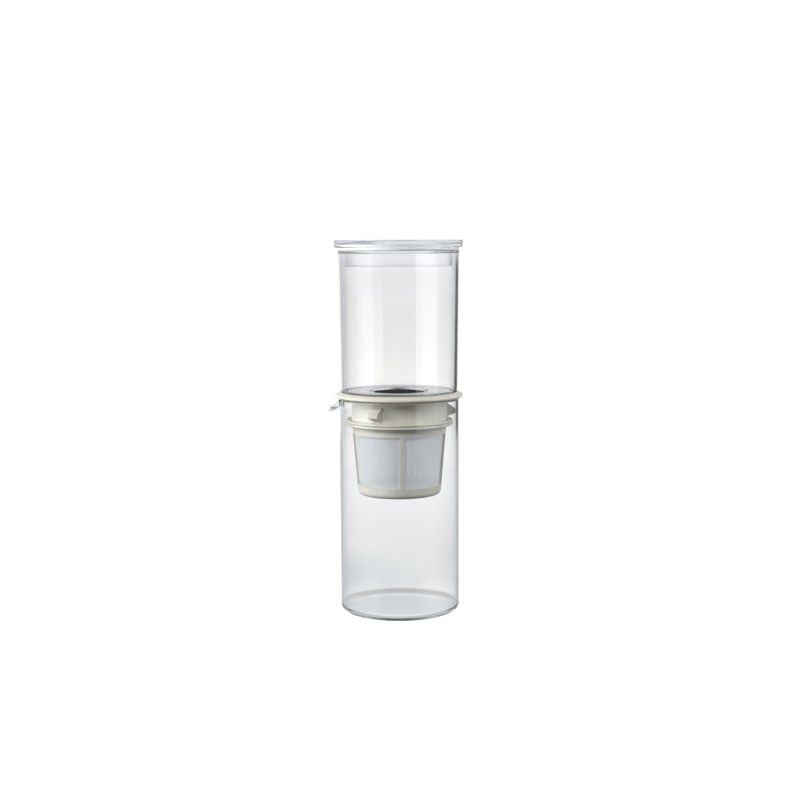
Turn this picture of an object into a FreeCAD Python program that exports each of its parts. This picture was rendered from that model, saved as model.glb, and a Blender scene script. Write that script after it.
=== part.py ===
"""Cold drip coffee tower: a glass server, a holder on its rim that carries the strainer for the coffee,
and a clear water tank above it, which lets its water fall drop by drop.

Millimetres, +Z up. The origin is on the tower's axis at the underside of the server, and the server's
spout points along -X. Every size is a cell of the sheet, and the sketches are bound to those cells.
"""

import FreeCAD, Part
import math
import os

import Sketcher

SIZES = {
    # Glass server
    "server_radius": 47.6,
    "server_height": 171.3,
    "server_wall": 2.0,
    "server_floor": 3.0,
    "server_foot_rounding": 5.5,
    "server_inner_rounding": 3.5,
    "spout_reach": 8.3,
    "spout_root_width": 19.0,
    "spout_tip_width": 5.6,
    "spout_root_depth": 9.2,
    "spout_tip_depth": 10.3,
    "spout_tip_drop": 8.4,
    "spout_wall": 1.8,
    # Holder on the server's rim
    "rim_gap": 0.2,
    "flange_overhang": 3.2,
    "flange_ring": 4.8,
    "flange_seat_margin": 0.2,
    "flange_height": 5.5,
    "flange_slope": 2.1,
    "flange_edge_height": 1.7,
    "flange_rounding": 0.75,
    "tank_recess_depth": 4.0,
    "skirt_wall": 2.0,
    "skirt_length": 18.7,
    "lower_flange_clearance": 2.75,
    "lower_flange_width": 4.9,
    "lower_flange_height": 2.2,
    "lip_rounding": 0.9,
    "fin_count": 3,
    "fin_width": 8.0,
    "fin_drop": 3.2,
    "fin_root_height": 12.0,
    "fin_tip_drop": 5.6,
    "fin_tip_height": 3.2,
    "fin_clearance": 0.3,
    "holder_turn": 3.4,
    # Strainer that hangs from the holder
    "strainer_gap": 0.1,
    "strainer_flange_height": 2.2,
    "basket_depth": 56.0,
    "basket_inset": 5.05,
    "basket_taper": 4.76,
    "basket_rounding": 4.0,
    "basket_wall": 1.8,
    "basket_floor": 2.0,
    "floor_ring_width": 4.5,
    "floor_bar_width": 3.0,
    "window_top_band": 6.6,
    "window_bottom_band": 8.3,
    "rib_count": 4,
    "rib_arc": 5.3,
    "strainer_turn": 3.8,
    "spigot_clearance": 0.65,
    "spigot_wall": 2.6,
    "spigot_height": 6.0,
    "ledge_width": 1.6,
    "ledge_drop": 3.5,
    "ledge_height": 1.6,
    "mesh_thickness": 0.4,
    "mesh_gap": 0.05,
    "mesh_overlap": 1.4,
    "seal_groove_depth": 1.2,
    "seal_height": 2.0,
    "seal_groove_rise": 2.0,
    "seal_fit": 0.05,
    "seal_skirt_gap": 0.1,
    # Shower plate inside the strainer's top
    "shower_clearance": 0.3,
    "shower_seat_gap": 0.05,
    "shower_thickness": 1.6,
    "shower_edge_height": 3.0,
    "shower_edge_width": 1.4,
    "shower_hole_radius": 0.5,
    "shower_ring_pitch": 8.0,
    "shower_ring_holes": 6,
    # Water tank
    "foot_clearance": 0.4,
    "foot_gap": 0.2,
    "foot_rounding": 0.8,
    "tank_height": 115.7,
    "tank_taper": 1.45,
    "tank_wall": 2.3,
    "tank_floor": 1.9,
    "tank_inner_rounding": 3.4,
    "shoulder_gap": 0.3,
    "shoulder_width": 1.0,
    "shoulder_rounding": 0.25,
    "bead_width": 0.4,
    "bead_height": 2.2,
    "bead_slope": 0.6,
    "sump_clearance": 0.6,
    "sump_wall": 2.5,
    "sump_floor": 2.0,
    # Drip plate with its gasket, filter and nozzle
    "plate_clearance": 0.1,
    "plate_sheet": 0.5,
    "plate_rise": 1.8,
    "plate_gap": 0.05,
    "plate_edge_rounding": 0.2,
    "plate_slope_width": 1.4,
    "plate_slope_height": 0.8,
    "gasket_width": 2.0,
    "gasket_rounding": 0.3,
    "cup_radius": 18.0,
    "cup_depth": 3.8,
    "filter_seat_radius": 22.3,
    "filter_clearance": 0.3,
    "filter_ring_width": 1.5,
    "filter_ring_height": 0.9,
    "filter_mesh_thickness": 0.25,
    "filter_mesh_slot": 1.0,
    "nozzle_radius": 2.25,
    "nozzle_length": 9.4,
    "nozzle_tip_length": 2.5,
    "nozzle_tip_radius": 1.2,
    "nozzle_head_radius": 5.0,
    "nozzle_head_height": 1.5,
    "nozzle_head_rounding": 0.4,
    "nozzle_inlet_radius": 1.2,
    "nozzle_hole_radius": 0.4,
    "nozzle_hole_length": 2.0,
    "nozzle_plate_clearance": 0.3,
    "grommet_bore_clearance": 0.05,
    "grommet_neck": 1.6,
    "grommet_flange": 2.2,
    "grommet_flange_height": 1.2,
    "grommet_gap": 0.05,
    "grommet_headroom": 0.3,
    # Lid and its seal
    "lid_overhang": 2.7,
    "lid_taper": 0.45,
    "lid_height": 8.1,
    "lid_lift": 2.2,
    "lid_rim_wall": 2.3,
    "lid_plate": 2.4,
    "lid_recess": 0.8,
    "lid_top_rounding": 0.6,
    "lid_low_rounding": 1.5,
    "lid_skirt_clearance": 2.95,
    "lid_skirt_wall": 2.2,
    "lid_skirt_length": 12.4,
    "lid_seal_clearance": 0.5,
    "lid_seal_lip": 2.3,
    "lid_seal_body_width": 3.6,
    "lid_seal_gap": 0.05,
}

SPOUT_STATIONS = (0.3, 0.6, 0.85, 1.0)  # shares of the spout's reach at which its sections stand
SPOUT_BROW_CURVE = 3  # how late the spout's upper edge bends down
OVERCUT = 1.0  # how far a cutting shape runs past what it cuts

doc = FreeCAD.newDocument("cold_drip_tower")
sheet = doc.addObject("Spreadsheet::Sheet", "Sizes")
for row, (alias, number) in enumerate(SIZES.items(), start=1):
    sheet.set(f"A{row}", alias)
    sheet.set(f"B{row}", str(number))
    sheet.setAlias(f"B{row}", alias)
doc.recompute()


class Size:
    """A size with its value now and the expression that ties it to the sheet."""

    def __init__(self, text, value):
        self.text = text
        self.value = value

    def __add__(self, other):
        return combine(self, "+", other)

    def __radd__(self, other):
        return combine(other, "+", self)

    def __sub__(self, other):
        return combine(self, "-", other)

    def __rsub__(self, other):
        return combine(other, "-", self)

    def __mul__(self, other):
        return combine(self, "*", other)

    def __rmul__(self, other):
        return combine(other, "*", self)

    def __truediv__(self, other):
        return combine(self, "/", other)

    def __rtruediv__(self, other):
        return combine(other, "/", self)

    def __neg__(self):
        return combine(0, "-", self)


def as_size(number):
    """A bare number as a Size."""
    return number if isinstance(number, Size) else Size(str(number), float(number))


def combine(first, sign, second):
    """The Size that one of the four operations makes of two."""
    first = as_size(first)
    second = as_size(second)
    results = {
        "+": lambda: first.value + second.value,
        "-": lambda: first.value - second.value,
        "*": lambda: first.value * second.value,
        "/": lambda: first.value / second.value,
    }
    return Size(f"({first.text} {sign} {second.text})", results[sign]())


def cell(alias):
    """The Size kept in one cell of the sheet."""
    return Size(f"Sizes.{alias}", float(sheet.get(alias)))


def smaller(first, second):
    """The smaller of two Sizes, for a rounding that its wall limits."""
    return Size(f"min({first.text}; {second.text})", min(first.value, second.value))


def tie(item, prop, size):
    """Binds a property to a size, unless the size is a bare number."""
    size = as_size(size)
    if "Sizes." in size.text:
        item.setExpression(prop, size.text)


def origin_feature(body, role):
    """One of a body's own origin planes or axes."""
    return next(item for item in body.Origin.OriginFeatures if item.Role == role)


def new_sketch(body, name, plane, offset=0):
    """An empty sketch on one of the body's own planes, moved along its normal by offset."""
    sketch = body.newObject("Sketcher::SketchObject", name)
    sketch.AttachmentSupport = [(origin_feature(body, plane), "")]
    sketch.MapMode = "FlatFace"
    sketch.AttachmentOffset = FreeCAD.Placement(
        FreeCAD.Vector(0, 0, as_size(offset).value), FreeCAD.Rotation()
    )
    tie(sketch, "AttachmentOffset.Base.z", offset)
    return sketch


def place_point(sketch, geometry, vertex, across, up):
    """Holds a point of a sketch at its two distances from the sketch's origin."""
    for kind, size in (("DistanceX", across), ("DistanceY", up)):
        size = as_size(size)
        index = sketch.addConstraint(
            Sketcher.Constraint(kind, -1, 1, geometry, vertex, size.value)
        )
        tie(sketch, f"Constraints[{index}]", size)


def outline(body, name, plane, corners, offset=0):
    """A closed outline. Each corner is (across, up), or (across, up, rounding) for a rounded one."""
    sketch = new_sketch(body, name, plane, offset)
    spots = [
        FreeCAD.Vector(as_size(corner[0]).value, as_size(corner[1]).value, 0)
        for corner in corners
    ]
    count = len(corners)
    entries, exits, arcs = list(spots), list(spots), {}
    for i, corner in enumerate(corners):
        if len(corner) == 2:
            continue
        arriving = (spots[i] - spots[i - 1]).normalize()
        leaving = (spots[(i + 1) % count] - spots[i]).normalize()
        side = 1 if arriving.cross(leaving).z > 0 else -1
        radius = as_size(corner[2]).value
        setback = radius * math.tan(arriving.getAngle(leaving) / 2)
        entries[i] = spots[i] - arriving * setback
        exits[i] = spots[i] + leaving * setback
        centre = entries[i] + FreeCAD.Vector(-arriving.y, arriving.x, 0) * radius * side
        ends = (entries[i], exits[i]) if side > 0 else (exits[i], entries[i])
        angles = [math.atan2((end - centre).y, (end - centre).x) for end in ends]
        circle = Part.Circle(centre, FreeCAD.Vector(0, 0, 1), radius)
        arcs[i] = (Part.ArcOfCircle(circle, *angles), side)
    for i in range(count):
        sketch.addGeometry(Part.LineSegment(exits[i], entries[(i + 1) % count]), False)
    for i, corner in enumerate(corners):
        before = (i - 1) % count
        if i not in arcs:
            sketch.addConstraint(Sketcher.Constraint("Coincident", before, 2, i, 1))
            place_point(sketch, i, 1, corner[0], corner[1])
            continue
        arc, side = arcs[i]
        bend = sketch.addGeometry(arc, False)
        apex = sketch.addGeometry(Part.Point(spots[i]), True)
        start, end = (1, 2) if side > 0 else (2, 1)
        sketch.addConstraint(
            [
                Sketcher.Constraint("PointOnObject", apex, 1, before),
                Sketcher.Constraint("PointOnObject", apex, 1, i),
                Sketcher.Constraint("Tangent", before, 2, bend, start),
                Sketcher.Constraint("Tangent", i, 1, bend, end),
            ]
        )
        place_point(sketch, apex, 1, corner[0], corner[1])
        rounding = as_size(corner[2])
        index = sketch.addConstraint(Sketcher.Constraint("Radius", bend, rounding.value))
        tie(sketch, f"Constraints[{index}]", rounding)
    return sketch


def bow(body, name, offset, half_width, top, bottom):
    """A section of the spout: a chord at the top with an arc that hangs from it."""
    sketch = new_sketch(body, name, "YZ_Plane", offset)
    half, high, low = (as_size(size).value for size in (half_width, top, bottom))
    left, right = FreeCAD.Vector(-half, high, 0), FreeCAD.Vector(half, high, 0)
    lowest = FreeCAD.Vector(0, low, 0)
    sketch.addGeometry(Part.LineSegment(right, left), False)
    sketch.addGeometry(Part.Arc(left, lowest, right), False)
    keel = sketch.addGeometry(Part.Point(lowest), True)
    sketch.addConstraint(
        [
            Sketcher.Constraint("Coincident", 0, 2, 1, 1),
            Sketcher.Constraint("Coincident", 0, 1, 1, 2),
            Sketcher.Constraint("PointOnObject", keel, 1, 1),
        ]
    )
    place_point(sketch, 0, 1, half_width, top)
    place_point(sketch, 0, 2, -as_size(half_width), top)
    place_point(sketch, keel, 1, 0, bottom)
    return sketch


def turn(body, name, sketch, cut=False, arc=None):
    """Turns an outline about the tower's axis, all round or over an arc centred on its plane."""
    kind = "PartDesign::Groove" if cut else "PartDesign::Revolution"
    feature = body.newObject(kind, name)
    feature.Profile = sketch
    feature.ReferenceAxis = (sketch, ["V_Axis"])
    feature.Angle = 360
    if arc is not None:
        feature.Midplane = True
        feature.Angle = arc.value
        tie(feature, "Angle", arc)
    body.Tip = feature
    return feature


def turned_body(name, corners):
    """A body with one turned outline in the XZ plane."""
    body = doc.addObject("PartDesign::Body", name)
    turn(body, f"{name}_turned", outline(body, f"{name}_section", "XZ_Plane", corners))
    return body


def repeat(body, name, features, count):
    """Repeats features evenly round the tower's axis."""
    pattern = body.newObject("PartDesign::PolarPattern", name)
    pattern.Originals = features
    pattern.Axis = (origin_feature(body, "Z_Axis"), [""])
    pattern.Angle = 360
    pattern.Occurrences = round(count.value)
    tie(pattern, "Occurrences", count)
    body.Tip = pattern
    return pattern


def rotate(body, angle):
    """Turns a whole body about the tower's axis."""
    body.Placement = FreeCAD.Placement(
        FreeCAD.Vector(0, 0, 0), FreeCAD.Rotation(FreeCAD.Vector(0, 0, 1), angle.value)
    )
    tie(body, "Placement.Rotation.Angle", angle)


# Heights that more than one piece needs, from the bottom up
rim_level = cell("server_height")
flange_under = rim_level + cell("rim_gap")
flange_top = flange_under + cell("flange_height")
holder_low = flange_under - cell("skirt_length")
strainer_top = holder_low - cell("strainer_gap")
strainer_under = strainer_top - cell("strainer_flange_height")
basket_low = strainer_under - cell("basket_depth")
ledge_top = strainer_under - cell("ledge_drop")
foot_low = flange_top - cell("tank_recess_depth") + cell("foot_gap")
tank_floor_top = foot_low + cell("tank_floor")
tank_rim = foot_low + cell("tank_height")
lid_top = tank_rim + cell("lid_height")
tank_shoulder = flange_top + cell("shoulder_gap")
plate_low = tank_floor_top + cell("plate_gap")
seat_top = plate_low + cell("plate_sheet")
drip_plate_top = seat_top + cell("plate_rise")
cup_floor_top = seat_top - cell("cup_depth")
cup_under = cup_floor_top - cell("plate_sheet")
grommet_top = cup_under - cell("grommet_headroom")
sump_floor_top = grommet_top - cell("grommet_flange_height") - cell("grommet_gap")
sump_under = sump_floor_top - cell("sump_floor")

# Radii, each from that of the piece it fits, from the server inwards and then up to the lid
server_bore = cell("server_radius") - cell("server_wall")
lower_flange_radius = server_bore - cell("lower_flange_clearance")
skirt_radius = lower_flange_radius - cell("lower_flange_width")
skirt_bore = skirt_radius - cell("skirt_wall")
spigot_radius = skirt_bore - cell("spigot_clearance")
spigot_bore = spigot_radius - cell("spigot_wall")
basket_top_radius = lower_flange_radius - cell("basket_inset")
basket_bottom_radius = basket_top_radius - cell("basket_taper")
flange_radius = cell("server_radius") + cell("flange_overhang")
recess_radius = flange_radius - cell("flange_ring")
foot_radius = recess_radius - cell("foot_clearance")
tank_low_radius = foot_radius + cell("shoulder_width")
tank_top_radius = tank_low_radius + cell("tank_taper")
tank_draft = cell("tank_taper") / (tank_rim - tank_shoulder)
tank_floor_bore = tank_low_radius - cell("tank_wall") + tank_draft * (tank_floor_top - tank_shoulder)
bead_radius = tank_top_radius + cell("bead_width")
lid_radius = bead_radius + cell("lid_overhang")
lid_low_radius = lid_radius - cell("lid_taper")
lid_rim_bore = lid_low_radius - cell("lid_rim_wall")
lid_skirt_radius = tank_top_radius - cell("tank_wall") - cell("lid_skirt_clearance")
drip_plate_edge = tank_floor_bore - cell("tank_inner_rounding") - cell("plate_clearance")
sump_radius = cell("cup_radius") + cell("plate_sheet") + cell("sump_clearance")
grommet_bore = cell("nozzle_radius") + cell("grommet_bore_clearance")
grommet_neck_radius = grommet_bore + cell("grommet_neck")
grommet_hole = grommet_neck_radius + cell("grommet_gap")


def basket_radius(level):
    """The strainer's outer radius at a height."""
    widening = cell("basket_taper") / cell("basket_depth")
    return basket_bottom_radius + (level - basket_low) * widening


def make_server():
    """Straight glass beaker with a rounded foot and a small beak pulled out of its rim."""
    body = doc.addObject("PartDesign::Body", "server")
    radius = cell("server_radius")
    rim_rounding = cell("server_wall") * 0.4
    glass = [
        (0, 0),
        (radius, 0, cell("server_foot_rounding")),
        (radius, rim_level, rim_rounding),
        (0, rim_level),
    ]
    turn(body, "server_blank", outline(body, "server_outside", "XZ_Plane", glass))

    root = radius - cell("server_wall") * 1.4
    root_half = cell("spout_root_width") / 2
    tip_half = cell("spout_tip_width") / 2
    root_floor = rim_level - cell("spout_root_depth")
    root_brow = rim_level - cell("server_wall") * 0.4
    outer = [(root, root_half, root_brow, root_floor + cell("server_wall"))]
    deepening = cell("spout_tip_depth") - cell("spout_root_depth")
    for share in SPOUT_STATIONS:
        outer.append(
            (
                radius + cell("spout_reach") * share,
                root_half + (tip_half - root_half) * share,
                rim_level - cell("spout_tip_drop") * share**SPOUT_BROW_CURVE,
                root_floor - deepening * (1 - (1 - share) ** 2),
            )
        )
    beak = [
        bow(body, f"spout_section_{i}", -out, half, top, low)
        for i, (out, half, top, low) in enumerate(outer)
    ]
    spout = body.newObject("PartDesign::AdditiveLoft", "spout")
    spout.Profile = beak[0]
    spout.Sections = beak[1:]
    body.Tip = spout

    bore = [
        (0, cell("server_floor")),
        (server_bore, cell("server_floor"), cell("server_inner_rounding")),
        (server_bore, rim_level, rim_rounding),
        (radius + OVERCUT, rim_level),
        (radius + OVERCUT, rim_level + OVERCUT),
        (0, rim_level + OVERCUT),
    ]
    turn(body, "server_bore", outline(body, "server_inside", "XZ_Plane", bore), cut=True)

    wall = cell("spout_wall")
    clear = cell("spout_root_depth") * 0.5
    channel = [
        bow(body, f"channel_section_{i}", -out, half - wall + clear * 0.3, top + clear, low + wall)
        for i, (out, half, top, low) in enumerate(
            [(server_bore - cell("server_wall") * 2, *outer[0][1:])] + outer[1:]
        )
    ]
    trough = body.newObject("PartDesign::SubtractiveLoft", "spout_channel")
    trough.Profile = channel[0]
    trough.Sections = channel[1:]
    body.Tip = trough
    return body


def make_holder():
    """Moulded collar: its dished flange lies on the glass and takes the tank's foot, and its skirt the strainer."""
    rounding = cell("flange_rounding")
    lip = cell("lip_rounding")
    recess_floor = flange_top - cell("tank_recess_depth")
    edge_top = flange_top - cell("flange_slope")
    lower_flange_top = holder_low + cell("lower_flange_height")
    body = turned_body(
        "holder",
        [
            (skirt_bore, holder_low),
            (lower_flange_radius, holder_low, lip),
            (lower_flange_radius, lower_flange_top, lip),
            (skirt_radius, lower_flange_top),
            (skirt_radius, flange_under),
            (cell("server_radius") + cell("flange_seat_margin"), flange_under),
            (flange_radius, edge_top - cell("flange_edge_height"), rounding),
            (flange_radius, edge_top, rounding),
            (recess_radius, flange_top, lip / 2),
            (recess_radius, recess_floor),
            (skirt_bore, recess_floor, lip / 2),
        ],
    )
    tip = server_bore - cell("fin_clearance")
    root = skirt_radius - cell("skirt_wall") / 2
    root_top = flange_under - cell("fin_drop")
    tip_top = root_top - cell("fin_tip_drop")
    fin_corners = [
        (root, root_top - cell("fin_root_height")),
        (tip, tip_top - cell("fin_tip_height"), cell("fin_tip_height") / 5),
        (tip, tip_top, cell("fin_tip_height") / 5),
        (root, root_top),
    ]
    fin = body.newObject("PartDesign::Pad", "fin")
    fin.Profile = outline(body, "fin_side", "XZ_Plane", fin_corners)
    fin.Midplane = True
    fin.Length = cell("fin_width").value
    tie(fin, "Length", cell("fin_width"))
    repeat(body, "fins", [fin], cell("fin_count"))
    rotate(body, cell("holder_turn"))
    return body


def make_strainer_frame():
    """Moulded basket: flange, spigot with a groove for its seal, ledge for the shower plate, ribs and floor bars."""
    lip = cell("lip_rounding")
    wall = cell("basket_wall")
    floor_top = basket_low + cell("basket_floor")
    spigot_top = strainer_top + cell("spigot_height")
    groove_low = strainer_top + cell("seal_groove_rise")
    groove_top = groove_low + cell("seal_height") + cell("seal_fit") * 2
    groove_root = spigot_radius - cell("seal_groove_depth")
    ledge_bore = spigot_bore - cell("ledge_width")
    ledge_low = ledge_top - cell("ledge_height")
    floor_bore = basket_bottom_radius - cell("floor_ring_width")
    body = turned_body(
        "strainer_frame",
        [
            (floor_bore, basket_low),
            (basket_radius(basket_low), basket_low, cell("basket_rounding")),
            (basket_radius(strainer_under), strainer_under),
            (lower_flange_radius, strainer_under, lip),
            (lower_flange_radius, strainer_top, lip),
            (spigot_radius, strainer_top),
            (spigot_radius, groove_low),
            (groove_root, groove_low),
            (groove_root, groove_top),
            (spigot_radius, groove_top),
            (spigot_radius, spigot_top, lip / 2),
            (spigot_bore, spigot_top, lip / 2),
            (spigot_bore, ledge_top),
            (ledge_bore, ledge_top),
            (ledge_bore, ledge_low),
            (basket_radius(ledge_low) - wall, ledge_low),
            (basket_radius(floor_top) - wall, floor_top, wall),
            (floor_bore, floor_top),
        ],
    )

    bar_half = cell("floor_bar_width") / 2
    bar_reach = floor_bore + cell("floor_ring_width") / 3
    for axis, across, along in (("x", bar_reach, bar_half), ("y", bar_half, bar_reach)):
        bar = body.newObject("PartDesign::Pad", f"floor_bar_{axis}")
        bar.Profile = outline(
            body,
            f"floor_bar_{axis}_outline",
            "XY_Plane",
            [(-across, -along), (across, -along), (across, along), (-across, along)],
            offset=basket_low,
        )
        bar.Length = cell("basket_floor").value
        tie(bar, "Length", cell("basket_floor"))
        body.Tip = bar

    window_low = basket_low + cell("window_bottom_band")
    window_top = strainer_under - cell("window_top_band")
    window = turn(
        body,
        "window",
        outline(
            body,
            "window_outline",
            "XZ_Plane",
            [
                (basket_radius(window_low) - wall - OVERCUT, window_low),
                (basket_radius(window_low) + OVERCUT, window_low),
                (basket_radius(window_top) + OVERCUT, window_top),
                (basket_radius(window_top) - wall - OVERCUT, window_top),
            ],
        ),
        cut=True,
        arc=360 / cell("rib_count") - cell("rib_arc"),
    )
    repeat(body, "windows", [window], cell("rib_count"))
    rotate(body, 180 / cell("rib_count") + cell("strainer_turn"))
    return body


def make_side_mesh():
    """Fine woven sleeve that lines the basket's windows."""
    gap = cell("basket_wall") + cell("mesh_gap")
    low = basket_low + cell("window_bottom_band") - cell("mesh_overlap")
    high = strainer_under - cell("window_top_band") + cell("mesh_overlap")
    thickness = cell("mesh_thickness")
    return turned_body(
        "side_mesh",
        [
            (basket_radius(low) - gap - thickness, low),
            (basket_radius(low) - gap, low),
            (basket_radius(high) - gap, high),
            (basket_radius(high) - gap - thickness, high),
        ],
    )


def make_bottom_mesh():
    """Round piece of the same mesh on the basket's floor bars."""
    low = basket_low + cell("basket_floor") + cell("mesh_gap")
    radius = basket_radius(low) - cell("basket_wall") * 2 - cell("mesh_gap")
    return turned_body(
        "bottom_mesh",
        [
            (0, low),
            (radius, low),
            (radius, low + cell("mesh_thickness")),
            (0, low + cell("mesh_thickness")),
        ],
    )


def make_strainer_seal():
    """Silicone ring in the spigot's groove, which grips the holder's skirt."""
    inner = spigot_radius - cell("seal_groove_depth") + cell("seal_fit")
    outer = skirt_bore - cell("seal_skirt_gap")
    low = strainer_top + cell("seal_groove_rise") + cell("seal_fit")
    high = low + cell("seal_height")
    rounding = (outer - spigot_radius) * 0.8
    return turned_body(
        "strainer_seal",
        [(inner, low), (outer, low, rounding), (outer, high, rounding), (inner, high)],
    )


def make_shower_plate():
    """Perforated disc on the basket's ledge, which spreads the drops over the coffee."""
    low = ledge_top + cell("shower_seat_gap")
    radius = spigot_bore - cell("shower_clearance")
    edge_bore = radius - cell("shower_edge_width")
    body = turned_body(
        "shower_plate",
        [
            (0, low),
            (radius, low),
            (radius, low + cell("shower_edge_height")),
            (edge_bore, low + cell("shower_edge_height")),
            (edge_bore, low + cell("shower_thickness")),
            (0, low + cell("shower_thickness")),
        ],
    )
    for ring in (1, 2, 3):
        sketch = new_sketch(body, f"hole_{ring}_outline", "XY_Plane", low)
        distance = cell("shower_ring_pitch") * ring
        spot = FreeCAD.Vector(distance.value, 0, 0)
        radius_of_hole = cell("shower_hole_radius")
        sketch.addGeometry(
            Part.Circle(spot, FreeCAD.Vector(0, 0, 1), radius_of_hole.value), False
        )
        place_point(sketch, 0, 3, distance, 0)
        index = sketch.addConstraint(Sketcher.Constraint("Radius", 0, radius_of_hole.value))
        tie(sketch, f"Constraints[{index}]", radius_of_hole)
        hole = body.newObject("PartDesign::Pocket", f"hole_{ring}")
        hole.Profile = sketch
        hole.Type = "Length"
        hole.Reversed = True
        hole.Length = cell("shower_edge_height").value
        tie(hole, "Length", cell("shower_edge_height"))
        body.Tip = hole
        repeat(body, f"holes_{ring}", [hole], cell("shower_ring_holes") * ring)
    return body


def make_tank():
    """Clear moulded beaker: foot, sump with a hole for the nozzle's grommet, drafted wall and a beaded rim."""
    wall = cell("tank_wall")
    bead_low = tank_rim - cell("bead_height")
    bead_root = tank_top_radius - tank_draft * cell("bead_height")
    shoulder = smaller(cell("shoulder_rounding"), cell("shoulder_width") * 0.95)
    return turned_body(
        "tank",
        [
            (grommet_hole, sump_under),
            (sump_radius + cell("sump_wall"), sump_under, cell("foot_rounding")),
            (sump_radius + cell("sump_wall"), foot_low),
            (foot_radius, foot_low, cell("foot_rounding")),
            (foot_radius, tank_shoulder),
            (tank_low_radius, tank_shoulder, shoulder),
            (bead_root, bead_low),
            (bead_radius, bead_low + cell("bead_slope")),
            (bead_radius, tank_rim, wall * 0.3),
            (tank_top_radius - wall, tank_rim, wall * 0.3),
            (tank_floor_bore, tank_floor_top, cell("tank_inner_rounding")),
            (sump_radius, tank_floor_top, cell("foot_rounding")),
            (sump_radius, sump_floor_top, cell("foot_rounding")),
            (grommet_hole, sump_floor_top),
        ],
    )


def make_nozzle_grommet():
    """Silicone grommet that seals the nozzle in the tank's floor."""
    gap = cell("grommet_gap")
    flange = grommet_neck_radius + cell("grommet_flange")
    height = cell("grommet_flange_height")
    return turned_body(
        "nozzle_grommet",
        [
            (grommet_bore, sump_under - gap - height),
            (flange, sump_under - gap - height, height * 0.3),
            (flange, sump_under - gap),
            (grommet_neck_radius, sump_under - gap),
            (grommet_neck_radius, sump_floor_top + gap),
            (flange, sump_floor_top + gap),
            (flange, grommet_top, height * 0.3),
            (grommet_bore, grommet_top),
        ],
    )


def make_drip_plate():
    """Pressed steel plate: a flat ring with a sloping lip, the seat for the filter and a cup over the nozzle."""
    sheet_steel = cell("plate_sheet")
    hole = cell("nozzle_radius") + cell("nozzle_plate_clearance")
    cup = cell("cup_radius")
    seat = cell("filter_seat_radius")
    slope_top = seat + cell("plate_slope_width")
    slope_low = drip_plate_top - cell("plate_slope_height")
    return turned_body(
        "drip_plate",
        [
            (hole, cup_under),
            (cup + sheet_steel, cup_under),
            (cup + sheet_steel, plate_low),
            (seat + sheet_steel, plate_low),
            (seat + sheet_steel, slope_low - sheet_steel / 2),
            (slope_top + sheet_steel / 4, drip_plate_top - sheet_steel),
            (drip_plate_edge, drip_plate_top - sheet_steel),
            (drip_plate_edge, drip_plate_top, cell("plate_edge_rounding")),
            (slope_top, drip_plate_top),
            (seat, slope_low),
            (seat, seat_top),
            (cup, seat_top),
            (cup, cup_floor_top),
            (hole, cup_floor_top),
        ],
    )


def make_plate_gasket():
    """Dark rubber ring under the plate's edge, which keeps the water from passing beside the filter."""
    inner = drip_plate_edge - cell("gasket_width")
    top = drip_plate_top - cell("plate_sheet") - cell("plate_gap")
    rounding = cell("gasket_rounding")
    return turned_body(
        "plate_gasket",
        [
            (inner, plate_low),
            (drip_plate_edge, plate_low, rounding),
            (drip_plate_edge, top, rounding),
            (inner, top),
        ],
    )


filter_low = seat_top + cell("plate_gap")
filter_radius = cell("filter_seat_radius") - cell("filter_clearance")
filter_slot_low = filter_low + (cell("filter_ring_height") - cell("filter_mesh_thickness")) / 2


def make_filter_ring():
    """Crimped ring that carries the intake filter's mesh."""
    top = filter_low + cell("filter_ring_height")
    bore = filter_radius - cell("filter_ring_width")
    slot_root = bore + cell("filter_mesh_slot")
    gap = cell("mesh_gap")
    slot_top = filter_slot_low + cell("filter_mesh_thickness") + gap
    return turned_body(
        "filter_ring",
        [
            (bore, filter_low),
            (filter_radius, filter_low),
            (filter_radius, top, cell("filter_ring_height") / 4),
            (bore, top, cell("filter_ring_height") / 5),
            (bore, slot_top),
            (slot_root, slot_top),
            (slot_root, filter_slot_low - gap),
            (bore, filter_slot_low - gap),
        ],
    )


def make_filter_mesh():
    """Round woven wire mesh over the cup, held in the ring's slot."""
    radius = filter_radius - cell("filter_ring_width") + cell("filter_mesh_slot") - cell("mesh_gap")
    top = filter_slot_low + cell("filter_mesh_thickness")
    return turned_body(
        "filter_mesh",
        [(0, filter_slot_low), (radius, filter_slot_low), (radius, top), (0, top)],
    )


def make_drip_nozzle():
    """Turned nozzle: a head in the plate's cup, a barrel through the grommet and a fine hole at its tip."""
    head_low = cup_floor_top + cell("plate_gap")
    barrel_low = head_low - cell("nozzle_length")
    inlet = cell("nozzle_inlet_radius")
    hole = cell("nozzle_hole_radius")
    head_top = head_low + cell("nozzle_head_height")
    return turned_body(
        "drip_nozzle",
        [
            (hole, barrel_low),
            (cell("nozzle_tip_radius"), barrel_low),
            (cell("nozzle_radius"), barrel_low + cell("nozzle_tip_length")),
            (cell("nozzle_radius"), head_low),
            (cell("nozzle_head_radius"), head_low),
            (cell("nozzle_head_radius"), head_top, cell("nozzle_head_rounding")),
            (inlet, head_top),
            (inlet, barrel_low + cell("nozzle_hole_length")),
            (hole, barrel_low + cell("nozzle_hole_length")),
        ],
    )


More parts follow.
